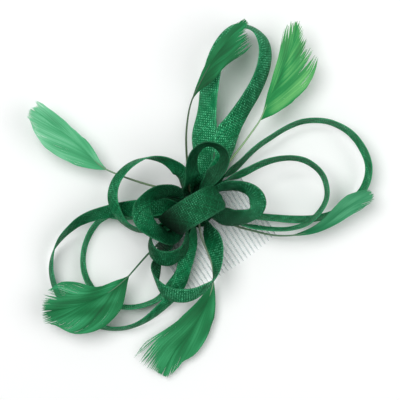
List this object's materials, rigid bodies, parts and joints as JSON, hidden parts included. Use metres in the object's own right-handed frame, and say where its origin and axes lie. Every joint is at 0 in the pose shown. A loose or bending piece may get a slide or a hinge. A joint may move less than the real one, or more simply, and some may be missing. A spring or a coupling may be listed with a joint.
{
  "type": "fascinator headpiece",
  "caption": "Looped straw-cloth strips and stripped-quill feathers sewn to a clear plastic side comb, worn in the hair.",
  "frame": {"origin": "centre of the comb spine's flat underside", "axes": "+X along the comb's spine, the teeth point along -Y, +Z away from the head, out through the loops"},
  "size_m": [0.2395, 0.1924, 0.051],
  "materials": {
    "straw_cloth": "stiff open-weave straw cloth, satin sheen, emerald green",
    "feather": "dyed feather, soft sheen, light green",
    "clear_plastic": "clear moulded plastic",
    "felt": "matted wool felt, dark green",
    "thread": "sewing thread, dark green"
  },
  "bodies": {
    "root": {"comb": "clear_plastic", "felt_base": "felt", "comb_stitching": "thread", "bound_core": "thread", "loop_top_large": "straw_cloth", "loop_left_upper": "straw_cloth", "loop_left_large": "straw_cloth", "loop_left_inner": "straw_cloth", "loop_right_large": "straw_cloth", "loop_right_inner": "straw_cloth", "loop_right_small": "straw_cloth", "loop_top_small": "straw_cloth", "loop_centre": "straw_cloth", "loop_left_small": "straw_cloth", "loop_left_lower": "straw_cloth", "loop_bottom": "straw_cloth", "feather_upper_left": "feather", "feather_top_right": "feather", "feather_bottom": "feather", "feather_lower_left": "feather", "feather_top": "feather", "feather_right": "feather"}
  },
  "joints": []
}
